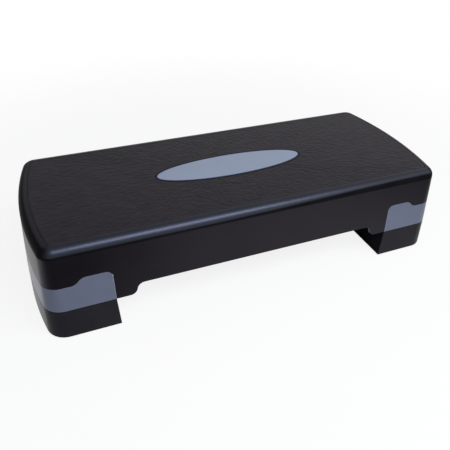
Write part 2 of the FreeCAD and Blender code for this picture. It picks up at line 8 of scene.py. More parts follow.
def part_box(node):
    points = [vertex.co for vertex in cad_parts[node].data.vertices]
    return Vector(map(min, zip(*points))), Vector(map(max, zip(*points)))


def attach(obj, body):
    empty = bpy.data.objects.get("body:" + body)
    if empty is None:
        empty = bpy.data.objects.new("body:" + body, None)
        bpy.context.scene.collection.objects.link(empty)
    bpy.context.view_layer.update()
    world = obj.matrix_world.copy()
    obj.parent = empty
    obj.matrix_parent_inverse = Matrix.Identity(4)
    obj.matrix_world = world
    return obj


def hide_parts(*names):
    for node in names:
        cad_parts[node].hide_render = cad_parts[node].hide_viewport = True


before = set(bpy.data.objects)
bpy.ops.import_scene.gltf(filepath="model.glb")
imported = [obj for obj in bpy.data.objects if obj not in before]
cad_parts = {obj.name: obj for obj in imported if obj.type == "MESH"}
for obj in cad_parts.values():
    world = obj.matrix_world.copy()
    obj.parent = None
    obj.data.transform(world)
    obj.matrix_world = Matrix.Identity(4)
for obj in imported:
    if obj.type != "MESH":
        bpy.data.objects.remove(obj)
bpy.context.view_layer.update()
sides = ("left", "right")
places = ("front_inner", "front_outer", "back_inner", "back_outer")
print("frame loaded:", len(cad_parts), "CAD nodes")


# Node trees

# A socket that takes part in sums, each of which adds its Math node
class Wire:
    def __init__(self, graph, socket):
        self.graph = graph
        self.socket = socket

    def __add__(self, other):
        return self.graph.maths("ADD", self, other)

    def __radd__(self, other):
        return self.graph.maths("ADD", other, self)

    def __sub__(self, other):
        return self.graph.maths("SUBTRACT", self, other)

    def __rsub__(self, other):
        return self.graph.maths("SUBTRACT", other, self)

    def __mul__(self, other):
        return self.graph.maths("MULTIPLY", self, other)

    def __rmul__(self, other):
        return self.graph.maths("MULTIPLY", other, self)

    def __truediv__(self, other):
        return self.graph.maths("DIVIDE", self, other)

    def __rtruediv__(self, other):
        return self.graph.maths("DIVIDE", other, self)

    def __pow__(self, other):
        return self.graph.maths("POWER", self, other)


# A shader or geometry tree under construction
class Graph:
    def __init__(self, tree):
        self.tree = tree

    def node(self, kind, settings=None, inputs=None, output=0):
        made = self.tree.nodes.new(kind)
        for key, value in (settings or {}).items():
            setattr(made, key, value)
        for key, value in (inputs or {}).items():
            self.feed(made.inputs[key], value)
        return Wire(self, made.outputs[output])

    def feed(self, socket, value):
        if isinstance(value, Wire):
            self.tree.links.new(value.socket, socket)
        else:
            socket.default_value = value

    def maths(self, operation, *values):
        return self.node("ShaderNodeMath", {"operation": operation}, dict(enumerate(values)))

    def step(self, value, low, high, start=0, end=1):
        settings = {"interpolation_type": "SMOOTHSTEP"}
        inputs = {"Value": value, "From Min": low, "From Max": high, "To Min": start, "To Max": end}
        return self.node("ShaderNodeMapRange", settings, inputs)

    def noise(self, place, size, detail, distortion=0):
        inputs = {"Vector": place, "Scale": 1 / size, "Detail": detail, "Distortion": distortion}
        return self.node("ShaderNodeTexNoise", None, inputs)

    # A noise swings about its middle value of one half
    def swing(self, field, spread):
        return (field - 0.5) * spread

    def stretched(self, place, shares):
        settings = {"operation": "MULTIPLY"}
        return self.node("ShaderNodeVectorMath", settings, {0: place, 1: shares})

    def colourMix(self, share, first, second):
        inputs = {0: share, 6: opaque(first), 7: opaque(second)}
        return self.node("ShaderNodeMix", {"data_type": "RGBA"}, inputs, 2)

    def bump(self, height, strength, depth):
        inputs = {"Strength": strength, "Distance": depth, "Height": height}
        return self.node("ShaderNodeBump", None, inputs)

    def shaderMix(self, share, first, second):
        return self.node("ShaderNodeMixShader", None, {0: share, 1: first, 2: second})

    def vector(self, x, y, z):
        return self.node("ShaderNodeCombineXYZ", None, {"X": x, "Y": y, "Z": z})

    def joined(self, *parts):
        made = self.tree.nodes.new("GeometryNodeJoinGeometry")
        for part in parts:
            self.feed(made.inputs[0], part)
        return Wire(self, made.outputs[0])

    def moved(self, part, x, y, z):
        inputs = {"Geometry": part, "Translation": self.vector(x, y, z)}
        return self.node("GeometryNodeTransform", None, inputs)

    def block(self, width, depth, height):
        return self.node("GeometryNodeMeshCube", None, {"Size": self.vector(width, depth, height)})

    def scattered(self, points, part):
        return self.node("GeometryNodeInstanceOnPoints", None, {"Points": points, "Instance": part})

    def axis(self, place, name):
        return self.node("ShaderNodeSeparateXYZ", None, {0: place}, name)


def opaque(colour):
    return colour if isinstance(colour, Wire) else (*colour, 1)


# Materials

def newMaterial(name):
    made = bpy.data.materials.new(name)
    made.use_nodes = True
    made.node_tree.nodes.clear()
    return made, Graph(made.node_tree)


def finishMaterial(graph, surface):
    target = graph.tree.nodes.new("ShaderNodeOutputMaterial")
    graph.feed(target.inputs["Surface"], surface)


plasticGrain = {
    "cloudDetail": 5, "cloudSpan": (0.3, 0.7), "grainDetail": 2, "grainRough": 0.08,
    "poreScale": 3, "poreDetail": 1, "poreShare": 0.3,
    "streakStretch": (0.25, 1, 1), "streakDetail": 4, "streakDistortion": 0.6,
    "scratchSpan": (0.66, 0.74), "wornSpan": (0.5, 0.62),
}


# Moulded plastic: clouded colour, a fine grain and fine scratches
def plasticSkin(graph, place, look):
    cloud = graph.noise(place, look["cloudSize"], plasticGrain["cloudDetail"])
    grain = graph.noise(place, look["grainSize"], plasticGrain["grainDetail"])
    pores = graph.noise(place, look["grainSize"] / plasticGrain["poreScale"], plasticGrain["poreDetail"])
    drawn = graph.stretched(place, plasticGrain["streakStretch"])
    streaks = graph.noise(drawn, look["scratchSize"], plasticGrain["streakDetail"],
                          plasticGrain["streakDistortion"])
    worn = graph.step(cloud, *plasticGrain["wornSpan"])
    scratch = graph.step(streaks, *plasticGrain["scratchSpan"]) * worn
    clouded = graph.step(cloud, *plasticGrain["cloudSpan"])
    colour = graph.colourMix(clouded, look["colour"], look["cloudColour"])
    colour = graph.colourMix(scratch * look["scratch"], colour, look["scratchColour"])
    rough = look["rough"] + graph.swing(cloud, look["roughSpread"])
    rough = rough + graph.swing(grain, plasticGrain["grainRough"])
    relief = grain * (1 - plasticGrain["poreShare"]) + pores * plasticGrain["poreShare"]
    return graph.node("ShaderNodeBsdfPrincipled", None, {
        "Base Color": colour, "Roughness": rough, "Specular IOR Level": look["gloss"],
        "Specular Tint": opaque(look["tint"]),
        "Normal": graph.bump(relief, look["grainStrength"], look["grainDepth"])})


def mouldedPlastic(name, look):
    material, graph = newMaterial(name)
    place = graph.node("ShaderNodeTexCoord", output="Object")
    finishMaterial(graph, plasticSkin(graph, place, look))
    return material


rubberGrain = {"cloudDetail": 5, "cloudSpan": (0.3, 0.7), "toothDetail": 3, "toothRough": 0.15}


# Rubber: dull, with a fine sandy tooth and paler worn patches
def rubberSkin(graph, place, look):
    cloud = graph.noise(place, look["cloudSize"], rubberGrain["cloudDetail"])
    tooth = graph.noise(place, look["toothSize"], rubberGrain["toothDetail"])
    clouded = graph.step(cloud, *rubberGrain["cloudSpan"])
    colour = graph.colourMix(clouded, look["colour"], look["cloudColour"])
    rough = look["rough"] + graph.swing(tooth, rubberGrain["toothRough"])
    bump = graph.bump(tooth, look["toothStrength"], look["toothDepth"])
    return graph.node("ShaderNodeBsdfPrincipled", None, {
        "Base Color": colour, "Roughness": rough, "Specular IOR Level": look["gloss"], "Normal": bump})


def rubber(name, look):
    material, graph = newMaterial(name)
    place = graph.node("ShaderNodeTexCoord", output="Object")
    finishMaterial(graph, rubberSkin(graph, place, look))
    return material


# Zinc-plated steel with a faint brushed streak
def zincSteel(name, look):
    material, graph = newMaterial(name)
    place = graph.node("ShaderNodeTexCoord", output="Object")
    brushed = graph.stretched(place, look["streakStretch"])
    streak = graph.noise(brushed, look["streakSize"], look["streakDetail"])
    cloud = graph.noise(place, look["cloudSize"], look["cloudDetail"])
    clouded = graph.step(cloud, *look["cloudSpan"])
    colour = graph.colourMix(clouded, look["colour"], look["cloudColour"])
    rough = look["rough"] + graph.swing(streak, look["roughSpread"])
    bump = graph.bump(streak, look["streakStrength"], look["streakDepth"])
    finishMaterial(graph, graph.node("ShaderNodeBsdfPrincipled", None, {
        "Base Color": colour, "Metallic": 1, "Roughness": rough, "Normal": bump}))
    return material


# Meshes

softening = {"segments": 2, "sharpAngle": math.radians(28), "weldGap": 1e-6, "flatAngle": math.radians(0.5)}


# Paints a finished mesh, gives it to a body, and lets it stand for its CAD nodes
def addPiece(name, mesh, material, body, slot, *nodes):
    mesh.materials.clear()
    mesh.materials.append(material)
    piece = bpy.data.objects.new(name, mesh)
    bpy.context.scene.collection.objects.link(piece)
    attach(piece, body)
    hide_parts(*nodes)


# A mesh with its modifiers made plain
def plainMesh(piece):
    graph = bpy.context.evaluated_depsgraph_get()
    mesh = bpy.data.meshes.new_from_object(piece.evaluated_get(graph), depsgraph=graph)
    bpy.data.objects.remove(piece)
    return mesh


# Rounds every edge sharper than a moulding's soft curves
def addBevel(draft, radius):
    bevel = draft.modifiers.new("edges", "BEVEL")
    bevel.width = radius
    bevel.segments = softening["segments"]
    bevel.limit_method = "ANGLE"
    bevel.angle_limit = softening["sharpAngle"]
    bevel.miter_outer = "MITER_ARC"
    evened = draft.modifiers.new("evened", "WEIGHTED_NORMAL")
    evened.keep_sharp = True


# A welded copy of a CAD node, its edges softened as a mould leaves them
def softened(node, radius):
    shape = bmesh.new()
    shape.from_mesh(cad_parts[node].data)
    bmesh.ops.remove_doubles(shape, verts=shape.verts, dist=softening["weldGap"])
    flat = softening["flatAngle"]
    bmesh.ops.dissolve_limit(shape, angle_limit=flat, verts=shape.verts, edges=shape.edges)
    mesh = bpy.data.meshes.new(node)
    shape.to_mesh(mesh)
    shape.free()
    for face in mesh.polygons:
        face.use_smooth = True
    draft = bpy.data.objects.new(node + "Draft", mesh)
    bpy.context.scene.collection.objects.link(draft)
    addBevel(draft, radius)
    return plainMesh(draft)


# Geometry trees

# A tree that takes a geometry and named numbers, with those numbers as wires
def newGeometry(name, *numbers):
    tree = bpy.data.node_groups.new(name, "GeometryNodeTree")
    tree.interface.new_socket("Geometry", in_out="INPUT", socket_type="NodeSocketGeometry")
    for number in numbers:
        tree.interface.new_socket(number, in_out="INPUT", socket_type="NodeSocketFloat")
    tree.interface.new_socket("Geometry", in_out="OUTPUT", socket_type="NodeSocketGeometry")
    graph = Graph(tree)
    given = tree.nodes.new("NodeGroupInput")
    wires = [Wire(graph, given.outputs[number]) for number in numbers]
    return graph, Wire(graph, given.outputs["Geometry"]), wires


def finishGeometry(graph, geometry, material):
    solid = graph.node("GeometryNodeRealizeInstances", None, {"Geometry": geometry})
    painted = graph.node("GeometryNodeSetMaterial", None, {"Geometry": solid, "Material": material})
    target = graph.tree.nodes.new("NodeGroupOutput")
    graph.feed(target.inputs[0], painted)
    return graph.tree


# Runs a geometry tree on a mesh, rounds the edges if asked, and returns the plain result
def grown(name, mesh, tree, values, edge=0):
    draft = bpy.data.objects.new(name + "Draft", mesh)
    bpy.context.scene.collection.objects.link(draft)
    growth = draft.modifiers.new(name, "NODES")
    growth.node_group = tree
    for item in tree.interface.items_tree:
        if item.in_out == "INPUT" and item.name in values:
            growth[item.identifier] = values[item.name]
    if edge:
        addBevel(draft, edge)
    return plainMesh(draft)


# A mesh of bare points, one for each copy of what repeats
def pointMesh(name, points):
    mesh = bpy.data.meshes.new(name)
    mesh.from_pydata(points, [], [])
    return mesh


# Deck shell

deck = {
    "edge": 0.0006,
    "colour": (0.0056, 0.0046, 0.0068), "cloudColour": (0.0072, 0.006, 0.0084),
    "cloudSize": 0.07, "grainSize": 0.0022, "grainStrength": 0.25, "grainDepth": 0.0004,
    "scratchSize": 0.012, "scratch": 0.05, "scratchColour": (0.15, 0.15, 0.156),
    "rough": 0.36, "roughSpread": 0.1, "gloss": 0.21, "tint": (0.94, 0.87, 1),
}
# The rim's copies: a black one that barely mirrors (partly painted shade), a bluish painted highlight along
# the sides, and a dull top at the ends that is partly painted light
rim = {
    "foot": (0.1345, 0.1375), "undersideTurn": (-0.9, -0.5),
    "flatGuard": 0.001,  # keeps level faces from a division by nought
    "colour": (0.0052, 0.005, 0.0063), "cloudColour": (0.007, 0.0068, 0.0083),
    "cloudSize": 0.05, "cloudDetail": 4, "cloudSpan": (0.3, 0.7),
    "rough": 0.4, "roughSpread": 0.1, "gloss": 0.01,
    "peelSize": 0.006, "peelDetail": 2, "peelStrength": 0.12, "peelDepth": 0.0003,
    "highlightGloss": 0.54, "highlightRough": 0.35, "highlightSpread": 0.08, "tint": (0.64, 0.71, 1),
    "highlightFoot": (0.138, 0.1412), "highlightTop": (0.1472, 0.1494), "highlightTopShare": 0.7,
    "highlightTurn": (0.5, 0.85), "highlightLift": 0.0053, "highlightLiftReach": (-0.1, 0.27),
    "dullPaintedLightFoot": (0.148, 0.1498), "dullPaintedLightColour": (0.0112, 0.0083, 0.0118), "dullPaintedLightRough": 0.48,
    "dullPaintedLightGloss": 0.125,
}


# The deck's plastic: satin skirt, and a black rim with a painted highlight along the sides and a dull top
# at the ends that is partly painted light; where the rim barely mirrors, its black is partly painted shade
def shellPaint():
    material, graph = newMaterial("shellPlastic")
    place = graph.node("ShaderNodeTexCoord", output="Object")
    height = graph.axis(place, "Z")
    facing = graph.node("ShaderNodeTexCoord", output="Normal")
    endward = graph.maths("ABSOLUTE", graph.axis(facing, "X"))
    sideward = graph.maths("ABSOLUTE", graph.axis(facing, "Y"))
    turn = sideward / (endward + sideward + rim["flatGuard"])
    cloud = graph.noise(place, rim["cloudSize"], rim["cloudDetail"])
    ripple = graph.noise(place, rim["peelSize"], rim["peelDetail"])
    peel = graph.bump(ripple, rim["peelStrength"], rim["peelDepth"])
    clouded = graph.step(cloud, *rim["cloudSpan"])
    colour = graph.colourMix(clouded, rim["colour"], rim["cloudColour"])
    rough = rim["rough"] + graph.swing(cloud, rim["roughSpread"])
    highlightRough = rim["highlightRough"] + graph.swing(cloud, rim["highlightSpread"])
    # Black plastic that barely mirrors: partly its own colour, partly painted shade
    blackShadedRim = graph.node("ShaderNodeBsdfPrincipled", None, {
        "Base Color": colour, "Roughness": rough, "Specular IOR Level": rim["gloss"], "Normal": peel})
    # A painted highlight: a bluish, glossier copy of the rim
    paintedHighlight = graph.node("ShaderNodeBsdfPrincipled", None, {
        "Base Color": colour, "Roughness": highlightRough, "Specular IOR Level": rim["highlightGloss"],
        "Specular Tint": opaque(rim["tint"]), "Normal": peel})
    # The ends' dull top: partly a dull finish, partly painted light
    dullPaintedLight = graph.node("ShaderNodeBsdfPrincipled", None, {
        "Base Color": opaque(rim["dullPaintedLightColour"]), "Roughness": rim["dullPaintedLightRough"],
        "Specular IOR Level": rim["dullPaintedLightGloss"], "Normal": peel})
    # Where the painted highlight and the dull top lie, by the way a face turns and by height
    along = graph.step(turn, *rim["highlightTurn"])
    inner = graph.step(height, *rim["dullPaintedLightFoot"]) * (1 - along)
    # The painted highlight's lower edge rises towards the right end
    highlightLift = graph.step(graph.axis(place, "X"), *rim["highlightLiftReach"]) * rim["highlightLift"]
    shown = graph.step(height - highlightLift, *rim["highlightFoot"]) * along
    shown = shown * graph.step(height, *rim["highlightTop"], 1, rim["highlightTopShare"])
    rolled = graph.shaderMix(shown, graph.shaderMix(inner, blackShadedRim, dullPaintedLight), paintedHighlight)
    # The rim, its painted highlight and painted shade included, against the satin skirt
    outside = graph.step(graph.axis(facing, "Z"), *rim["undersideTurn"])
    rimShare = graph.step(height, *rim["foot"]) * outside
    finishMaterial(graph, graph.shaderMix(rimShare, plasticSkin(graph, place, deck), rolled))
    return material


shellMesh = softened("deck_shell", deck["edge"])
addPiece("deckShell", shellMesh, shellPaint(), "deck", "black_shell", "deck_shell")
print("deck shell done")


# Tread mat

mat = {
    "low": 0.148, "top": 0.1499, "rounding": 0.0004,
    "halfWidth": 0.11783, "endRadius": 0.51783, "bowOffset": 0.2, "corner": 0.00583,
    "ovalHalfLength": 0.1263, "ovalHalfWidth": 0.0333,
    "bowSteps": 200, "cornerSteps": 24, "sideSteps": 300, "around": 900, "across": 64, "fade": 0.004,
    "depth": 0.00052, "waveLength": 0.011, "stretch": (0.95, 1.05, 1),
    "swirl": {"Scale": 1, "Detail": 2, "Distortion": 0.5}, "ridgeGain": 3.2, "ridgeShare": 0.25,
    "pebble": {"Scale": 2.3, "Detail": 1, "Distortion": 0.4}, "pebbleSpan": (0.3, 0.7),
    "colour": (0.0087, 0.007, 0.0114), "cloudColour": (0.0138, 0.0109, 0.0144),
    "cloudSize": 0.024, "toothSize": 0.0016, "toothStrength": 0.3, "toothDepth": 0.0003,
    "rough": 0.48, "gloss": 0.132,
    # Painted shade of the seam between the mat and the inlay
    "line": (0.0012, 0.0032), "lineColour": (0.009, 0.012, 0.026), "lineRough": 0.6, "lineGloss": 0.03,
    "slopeGuard": 0.1,  # keeps the oval's middle from a division by nought
}


# How far a place lies outside an oval about the middle of the tread
def ovalGap(graph, place, halfLength, halfWidth):
    along, across = graph.axis(place, "X"), graph.axis(place, "Y")
    ring = ((along / halfLength) ** 2 + (across / halfWidth) ** 2) ** 0.5
    slope = ((along / halfLength ** 2) ** 2 + (across / halfWidth ** 2) ** 2) ** 0.5
    return (ring - 1) * ring / graph.maths("MAXIMUM", slope, mat["slopeGuard"])


# The mat's rubber, with a dark line along the oval: painted shade of the seam with the inlay
def treadPaint():
    material, graph = newMaterial("treadRubber")
    place = graph.node("ShaderNodeTexCoord", output="Object")
    line = graph.node("ShaderNodeBsdfPrincipled", None, {
        "Base Color": opaque(mat["lineColour"]), "Roughness": mat["lineRough"],
        "Specular IOR Level": mat["lineGloss"]})
    away = graph.step(ovalGap(graph, place, mat["ovalHalfLength"], mat["ovalHalfWidth"]), *mat["line"])
    finishMaterial(graph, graph.shaderMix(away, line, rubberSkin(graph, place, mat)))
    return material


def onArc(radius, angle):
    return radius * math.cos(angle), radius * math.sin(angle)


# Points of the mat's outline, evenly spaced, counter-clockwise from the middle of the right end
def matOutline(count):
    cornerSide = mat["halfWidth"] - mat["corner"]
    cornerAlong = math.sqrt((mat["endRadius"] - mat["corner"]) ** 2 - cornerSide ** 2) - mat["bowOffset"]
    turn = math.asin(cornerSide / (mat["endRadius"] - mat["corner"]))
    quarter = []
    for step in range(mat["bowSteps"]):
        x, y = onArc(mat["endRadius"], turn * step / mat["bowSteps"])
        quarter.append((x - mat["bowOffset"], y))
    for step in range(mat["cornerSteps"] + 1):
        x, y = onArc(mat["corner"], turn + (math.pi / 2 - turn) * step / mat["cornerSteps"])
        quarter.append((cornerAlong + x, cornerSide + y))
    for step in range(mat["sideSteps"]):
        quarter.append((cornerAlong * (1 - (step + 1) / mat["sideSteps"]), mat["halfWidth"]))
    points = quarter[:-1]
    points += [(-x, y) for x, y in reversed(quarter[1:])]
    points += [(-x, -y) for x, y in quarter[:-1]]
    points += [(x, -y) for x, y in reversed(quarter[1:])]
    reach = [0]
    for (x0, y0), (x1, y1) in zip(points, points[1:] + points[:1]):
        reach.append(reach[-1] + math.hypot(x1 - x0, y1 - y0))
    even = []
    spot = 0
    for step in range(count):
        goal = reach[-1] * step / count
        while reach[spot + 1] < goal:
            spot += 1
        share = (goal - reach[spot]) / (reach[spot + 1] - reach[spot])
        (x0, y0), (x1, y1) = points[spot], points[(spot + 1) % len(points)]
        even.append((x0 + (x1 - x0) * share, y0 + (y1 - y0) * share))
    return even


# The mat as a closed ring between the oval and the outline, with how much of the relief each point takes
def matBase():
    shoulder = mat["top"] - mat["rounding"]
    rings = [(0, mat["low"]), (0, shoulder)]
    rings += [(step / mat["across"], mat["top"]) for step in range(mat["across"] + 1)]
    rings += [(1, shoulder), (1, mat["low"])]
    points, relief = [], []
    outline = matOutline(mat["around"])
    for x, y in outline:
        angle = math.atan2(y / mat["halfWidth"], x / (mat["endRadius"] - mat["bowOffset"]))
        inner = Vector((mat["ovalHalfLength"] * math.cos(angle), mat["ovalHalfWidth"] * math.sin(angle)))
        outer = Vector((x, y))
        span = (outer - inner).length
        pull = mat["rounding"] / span
        for share, level in rings:
            kept = share if level < mat["top"] else pull + share * (1 - 2 * pull)
            spot = inner.lerp(outer, kept)
            points.append((spot.x, spot.y, level))
            gap = min(kept, 1 - kept) * span
            relief.append(min(1, gap / mat["fade"]) if level == mat["top"] else 0)
    deep = len(rings)
    faces = []
    for turn in range(mat["around"]):
        here, there = turn * deep, (turn + 1) % mat["around"] * deep
        for step in range(deep):
            after = (step + 1) % deep
            faces.append((here + step, here + after, there + after, there + step))
    mesh = bpy.data.meshes.new("treadMat")
    mesh.from_pydata(points, [], faces)
    mesh.attributes.new("relief", "FLOAT", "POINT").data.foreach_set("value", relief)
    return mesh


# Sinks the mat's top into shallow pebbles
def treadRelief(material):
    graph, sheet, (depth, waveLength) = newGeometry("treadRelief", "Depth", "Wave length")
    place = graph.node("GeometryNodeInputPosition")
    scaled = graph.node("ShaderNodeVectorMath", {"operation": "SCALE"}, {0: place, "Scale": 1 / waveLength})
    spread = graph.stretched(scaled, mat["stretch"])
    swirl = graph.node("ShaderNodeTexNoise", None, {"Vector": spread} | mat["swirl"])
    pebble = graph.node("ShaderNodeTexNoise", None, {"Vector": spread} | mat["pebble"])
    ridge = graph.maths("MINIMUM", graph.maths("ABSOLUTE", graph.swing(swirl, mat["ridgeGain"])), 1)
    field = ridge * mat["ridgeShare"] + graph.step(pebble, *mat["pebbleSpan"]) * (1 - mat["ridgeShare"])
    share = graph.node("GeometryNodeInputNamedAttribute", {"data_type": "FLOAT"}, {"Name": "relief"})
    offset = graph.vector(0, 0, (1 - field) * share * depth * -1)
    sunk = graph.node("GeometryNodeSetPosition", None, {"Geometry": sheet, "Offset": offset})
    return finishGeometry(graph, sunk, material)


treadRubber = treadPaint()
matMesh = grown("treadMat", matBase(), treadRelief(treadRubber),
                {"Depth": mat["depth"], "Wave length": mat["waveLength"]})
for face in matMesh.polygons:
    face.use_smooth = True
addPiece("treadMat", matMesh, treadRubber, "deck", "tread_rubber", "tread_mat")
print("tread mat done:", len(matMesh.polygons), "faces")


# Oval inlay

inlay = {
    "edge": 0.0005, "halfLength": 0.126, "halfWidth": 0.033,
    "colour": (0.25, 0.293, 0.39), "cloudColour": (0.263, 0.307, 0.405),
    # Painted shade of the seam between the inlay and the mat
    "line": (-0.0022, -0.0009), "lineColour": (0.015, 0.022, 0.056),
    "cloudSize": 0.05, "cloudDetail": 4, "cloudSpan": (0.3, 0.7),
    "grainSize": 0.0012, "grainDetail": 2, "grainStrength": 0.15, "grainDepth": 0.0002,
    "rough": 0.46, "roughSpread": 0.1, "gloss": 0.3,
}


# Smooth painted plastic with a thin dark line along the oval's edge: painted shade of the seam with the mat
def inlayPaint():
    material, graph = newMaterial("inlayPaint")
    place = graph.node("ShaderNodeTexCoord", output="Object")
    line = graph.step(ovalGap(graph, place, inlay["halfLength"], inlay["halfWidth"]), *inlay["line"])
    cloud = graph.noise(place, inlay["cloudSize"], inlay["cloudDetail"])
    grain = graph.noise(place, inlay["grainSize"], inlay["grainDetail"])
    clouded = graph.step(cloud, *inlay["cloudSpan"])
    colour = graph.colourMix(clouded, inlay["colour"], inlay["cloudColour"])
    colour = graph.colourMix(line, colour, inlay["lineColour"])
    rough = inlay["rough"] + graph.swing(cloud, inlay["roughSpread"])
    bump = graph.bump(grain, inlay["grainStrength"], inlay["grainDepth"])
    finishMaterial(graph, graph.node("ShaderNodeBsdfPrincipled", None, {
        "Base Color": colour, "Roughness": rough, "Specular IOR Level": inlay["gloss"], "Normal": bump}))
    return material


inlayMesh = softened("oval_inlay", inlay["edge"])
addPiece("ovalInlay", inlayMesh, inlayPaint(), "deck", "grey_inlay", "oval_inlay")
print("oval inlay done")


# End bands

band = {
    "edge": 0.0003,
    "colour": (0.125, 0.14, 0.198), "cloudColour": (0.135, 0.151, 0.21),
    "cloudSize": 0.06, "grainSize": 0.0016, "grainStrength": 0.22, "grainDepth": 0.0003,
    "scratchSize": 0.011, "scratch": 0.08, "scratchColour": (0.375, 0.388, 0.45),
    "rough": 0.3, "roughSpread": 0.1, "gloss": 0.14, "tint": (1, 1, 1),
}
bandPlastic = mouldedPlastic("bandPlastic", band)
for side in sides:
    node = side + "_end_band"
    addPiece(side + "Band", softened(node, band["edge"]), bandPlastic, "deck", "grey_band", node)
print("end bands done")


# Risers

riser = {
    "edge": 0.0008,
    "colour": (0.0172, 0.0156, 0.0198), "cloudColour": (0.0208, 0.0189, 0.0234),
    "cloudSize": 0.06, "grainSize": 0.002, "grainStrength": 0.25, "grainDepth": 0.0004,
    "scratchSize": 0.01, "scratch": 0.06, "scratchColour": (0.163, 0.163, 0.169),
    "rough": 0.3, "roughSpread": 0.1, "gloss": 0.05, "tint": (1, 1, 1),
    # Painted shade: a darker, unglossy copy on the faces that look towards the other riser
    "paintedShadeTurn": (-0.9, -0.6), "dullPaintedLightGloss": 0, "dullPaintedLightColour": (0.0105, 0.0095, 0.012),
}


# The riser's plastic: satin, with painted shade on the faces that look towards the other riser, as a darker
# copy that does not mirror
def riserPaint():
    material, graph = newMaterial("riserPlastic")
    place = graph.node("ShaderNodeTexCoord", output="Object")
    facing = graph.node("ShaderNodeTexCoord", output="Normal")
    outward = graph.axis(facing, "X") * graph.maths("SIGN", graph.axis(place, "X"))
    satin = plasticSkin(graph, place, riser)
    # Painted shade for the inward faces
    shadedFaces = {"gloss": riser["dullPaintedLightGloss"], "colour": riser["dullPaintedLightColour"], "cloudColour": riser["dullPaintedLightColour"]}
    dullPaintedLight = plasticSkin(graph, place, riser | shadedFaces)
    finishMaterial(graph, graph.shaderMix(graph.step(outward, *riser["paintedShadeTurn"]), dullPaintedLight, satin))
    return material


riserPlastic = riserPaint()
for side in sides:
    node = side + "_riser"
    addPiece(side + "Riser", softened(node, riser["edge"]), riserPlastic, node, "black_riser", node)
print("risers done")


# Rubber pads

pad = {
    "edge": 0.0003, "groove": 0.0006, "bars": 4,
    "barShare": 0.13, "pitchShare": 0.22, "barLengthShare": 0.72,
    "colour": (0.0137, 0.0137, 0.0137), "cloudColour": (0.025, 0.0238, 0.0225),
    "cloudSize": 0.012, "toothSize": 0.0008, "toothStrength": 0.3, "toothDepth": 0.0002,
    "rough": 0.75, "gloss": 0.25,
}
foot = {"Width": 0.024, "Clip": 0.005, "Thickness": 0.0035, "Stem width": 0.008, "Stem length": 0.008}
stud = {"Width": 0.018, "Clip": 0.004, "Thickness": 0.0025, "Stem width": 0.008, "Stem length": 0.008}


# A square pad with clipped corners, bars across its sole and a stem that plugs into its boss
def padForm(material):
    graph, points, sizes = newGeometry("padForm", *foot)
    width, clip, thickness, stemWidth, stemLength = sizes
    groove = pad["groove"]
    square = graph.node("GeometryNodeCurvePrimitiveQuadrilateral", None, {"Width": width, "Height": width})
    clipped = graph.node("GeometryNodeFilletCurve", {"mode": "POLY"}, {
        "Curve": square, "Count": 1, "Radius": clip})
    face = graph.node("GeometryNodeFillCurve", {"mode": "NGONS"}, {"Curve": clipped})
    raised = graph.node("GeometryNodeExtrudeMesh", None, {"Mesh": face, "Offset Scale": thickness - groove})
    under = graph.node("GeometryNodeFlipFaces", None, {"Mesh": face})
    slab = graph.node("GeometryNodeMergeByDistance", None, {"Geometry": graph.joined(raised, under)})
    bar = graph.block(width * pad["barShare"], width * pad["barLengthShare"], groove * 2)
    pitch = width * pad["pitchShare"]
    row = graph.node("GeometryNodeMeshLine", None, {
        "Count": pad["bars"], "Start Location": graph.vector(pitch * (1 - pad["bars"]) / 2, 0, groove),
        "Offset": graph.vector(pitch, 0, 0)})
    stem = graph.block(stemWidth, stemWidth, stemLength + groove)
    whole = graph.joined(graph.moved(slab, 0, 0, groove), graph.scattered(row, bar),
                         graph.moved(stem, 0, 0, thickness + (stemLength - groove) / 2))
    return finishGeometry(graph, graph.scattered(points, whole), material)


# The middle of a node's underside
def soleMiddle(node):
    low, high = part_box(node)
    return (low.x + high.x) / 2, (low.y + high.y) / 2, low.z


def addPads(name, body, sizes, nodes):
    points = pointMesh(name, [soleMiddle(node) for node in nodes])
    addPiece(name, grown(name, points, padTree, sizes, pad["edge"]), padRubber, body, "pad_rubber", *nodes)


padRubber = rubber("padRubber", pad)
padTree = padForm(padRubber)
addPads("bandPads", "deck", stud, [f"{side}_band_pad_{place}" for side in sides for place in places])
for side in sides:
    addPads(side + "RiserPads", side + "_riser", foot, [f"{side}_riser_pad_{place}" for place in places])
print("rubber pads done")


# Band screws

screw = {
    "sizes": {"Head width": 0.0064, "Head height": 0.0025, "Shank width": 0.0029, "Shank length": 0.017,
              "Thread pitch": 0.0013},
    "threadDepth": 0.0003, "chamferShare": 0.25, "tipShare": 0.14,
    "headSides": 6, "rodSides": 16, "ridgeSides": 3, "turnSteps": 14,
    "colour": (0.56, 0.57, 0.6), "cloudColour": (0.64, 0.64, 0.63),
    "cloudSize": 0.004, "cloudDetail": 4, "cloudSpan": (0.35, 0.65), "rough": 0.34, "roughSpread": 0.2,
    "streakStretch": (1, 0.1, 1), "streakSize": 0.0008, "streakDetail": 3,
    "streakStrength": 0.2, "streakDepth": 0.0001,
}


